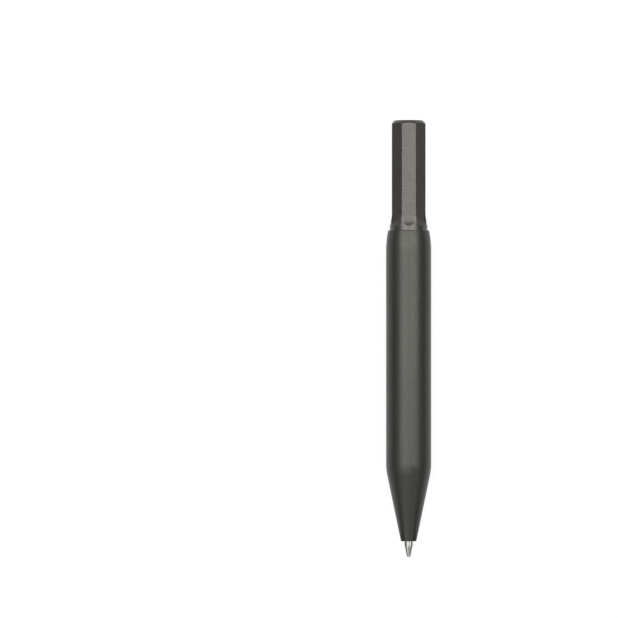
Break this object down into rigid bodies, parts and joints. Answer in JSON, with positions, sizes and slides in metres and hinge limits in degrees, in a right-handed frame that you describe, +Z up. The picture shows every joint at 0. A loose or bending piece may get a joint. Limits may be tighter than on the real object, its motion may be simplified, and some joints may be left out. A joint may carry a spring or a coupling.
{
  "type": "screw-action ballpoint pen",
  "caption": "Black anodised aluminium ballpoint pen with a tapered nose and an octagonal knob that screws out, drawing the point in and showing a brass band.",
  "frame": {"origin": "on the surface that the pen lies on, under its axis at half its length with the point out", "axes": "+Y along the pen's axis towards the knob, so the point is at -Y; +Z up, square to one flat of the knob; +X across the pen"},
  "size_m": [0.013, 0.1256, 0.013],
  "materials": {
    "anodised_aluminium": "bead-blasted, black anodised",
    "polished_brass": "turned and polished",
    "nitrile_rubber": "moulded, matt black",
    "refill_steel": "drawn stainless tube",
    "refill_plastic": "moulded, dark",
    "nickel_silver": "turned, bright",
    "tungsten_carbide": "lapped, bright grey",
    "spring_steel": "drawn wire"
  },
  "bodies": {
    "barrel": {"barrel": "anodised_aluminium", "thread_bush": "polished_brass", "return_spring": "spring_steel"},
    "refill": {"refill_tube": "refill_steel", "refill_plug": "refill_plastic", "refill_point": "nickel_silver"},
    "knob": {"knob": "anodised_aluminium", "screw_stem": "polished_brass", "friction_ring": "nitrile_rubber"},
    "ball": {"writing_ball": "tungsten_carbide"}
  },
  "joints": [
    {"name": "refill_slide", "type": "slide", "parent": "barrel", "child": "refill", "axis": [0, 1, 0], "range_m": [0, 0.007], "deforming": ["return_spring"]},
    {"name": "knob_turn", "type": "hinge", "parent": "refill", "child": "knob", "pos_m": [0, 0.0272, 0.0065], "axis": [0, 1, 0], "range_deg": [0, 720]},
    {"name": "ball_roll", "type": "hinge", "parent": "refill", "child": "ball", "pos_m": [0, -0.0623, 0.0065], "axis": [1, 0, 0], "continuous": true}
  ],
  "couplings": [
    {"joint": "knob_turn", "follows": "refill_slide", "rad_per_m": 1795.2}
  ]
}
